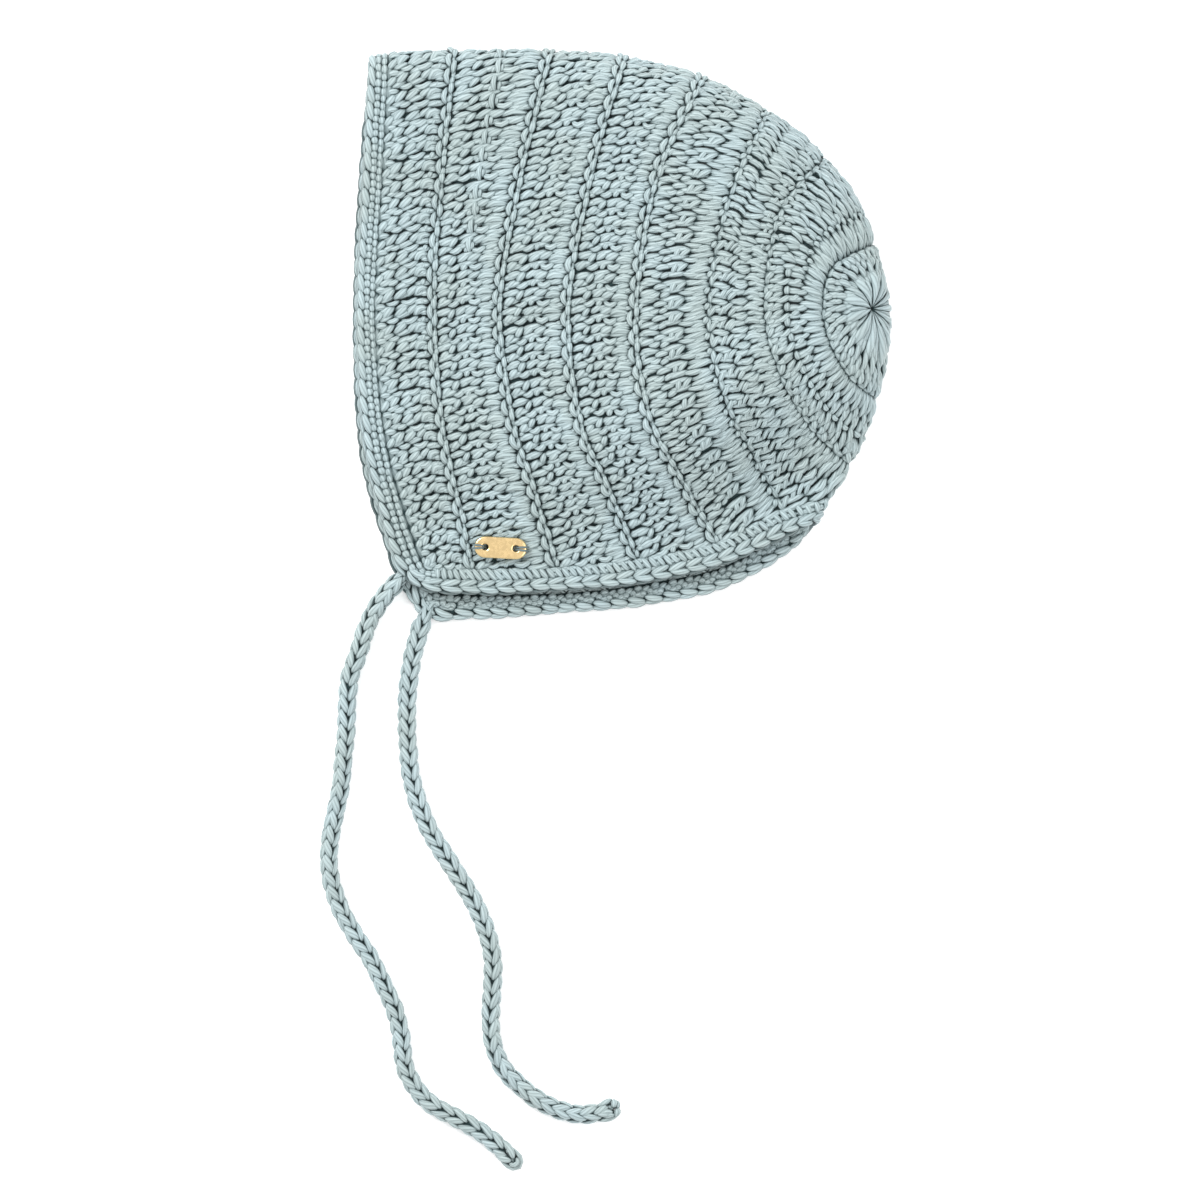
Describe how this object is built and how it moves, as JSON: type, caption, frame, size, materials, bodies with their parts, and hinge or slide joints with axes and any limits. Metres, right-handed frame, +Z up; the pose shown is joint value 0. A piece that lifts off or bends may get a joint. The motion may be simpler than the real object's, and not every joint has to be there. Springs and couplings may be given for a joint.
{
  "type": "crochet bonnet",
  "caption": "Baby's crocheted bonnet lying flat on its side, hollow and open at the face and the neck, with two thin cord ties and a small gold plate near the neck edge.",
  "frame": {"origin": "centre of the bonnet's bounding box, without its ties, on the surface that it lies on", "axes": "+Z up from the surface; -X towards the face opening; -Y towards the neck edge and the ties; +Y towards the top of the head"},
  "size_m": [0.1704, 0.3369, 0.0326],
  "materials": {
    "yarn": "smooth plied cotton yarn, pale duck-egg blue-grey",
    "plate": "bright polished gold colour"
  },
  "bodies": {
    "root": {"crown": "yarn", "body": "yarn", "edging": "yarn", "tie_upper": "yarn", "tie_lower": "yarn", "tie_end_upper": "yarn", "tie_end_lower": "yarn", "metal_tag": "plate"}
  },
  "joints": []
}
